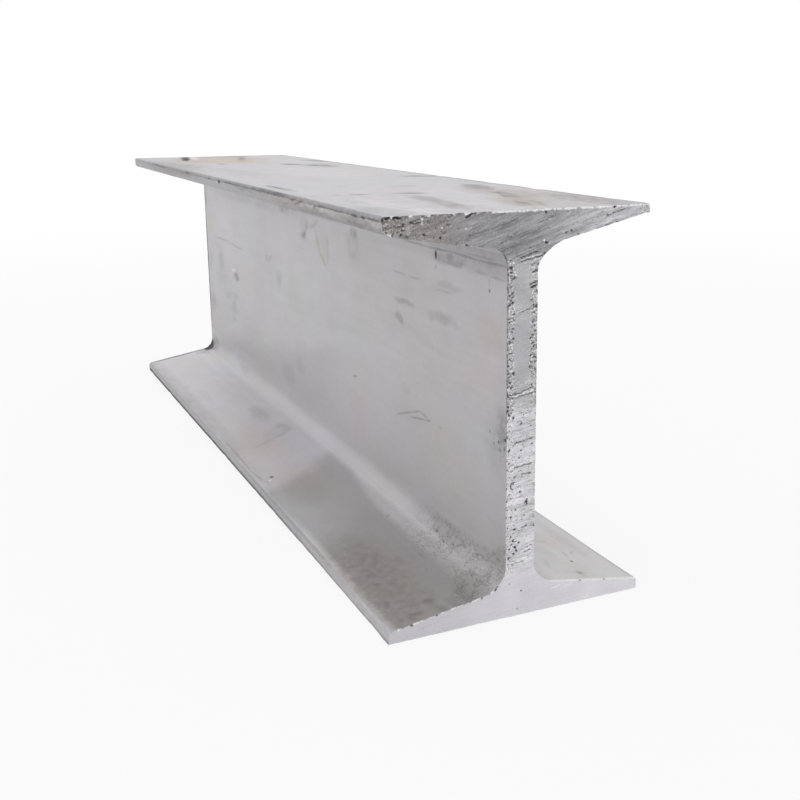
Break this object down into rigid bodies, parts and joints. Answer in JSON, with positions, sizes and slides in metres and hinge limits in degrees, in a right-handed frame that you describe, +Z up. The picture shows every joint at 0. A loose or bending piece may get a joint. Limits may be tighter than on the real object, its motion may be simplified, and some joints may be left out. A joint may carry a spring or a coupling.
{
  "type": "steel i-beam",
  "caption": "Short straight length of hot-rolled steel I-beam with tapered flanges, rounded roots and toes, and square saw-cut ends.",
  "frame": {"origin": "middle of the bearing face under the bottom flange, half way along the beam", "axes": "+Y along the beam, +X across the flanges, +Z up the web from the bottom flange to the top flange"},
  "size_m": [0.071, 0.305, 0.1016],
  "materials": {
    "steel": "pickled mill finish, pale grey and dull, with rougher saw-cut ends"
  },
  "bodies": {
    "root": {"i_beam": "steel"}
  },
  "joints": []
}
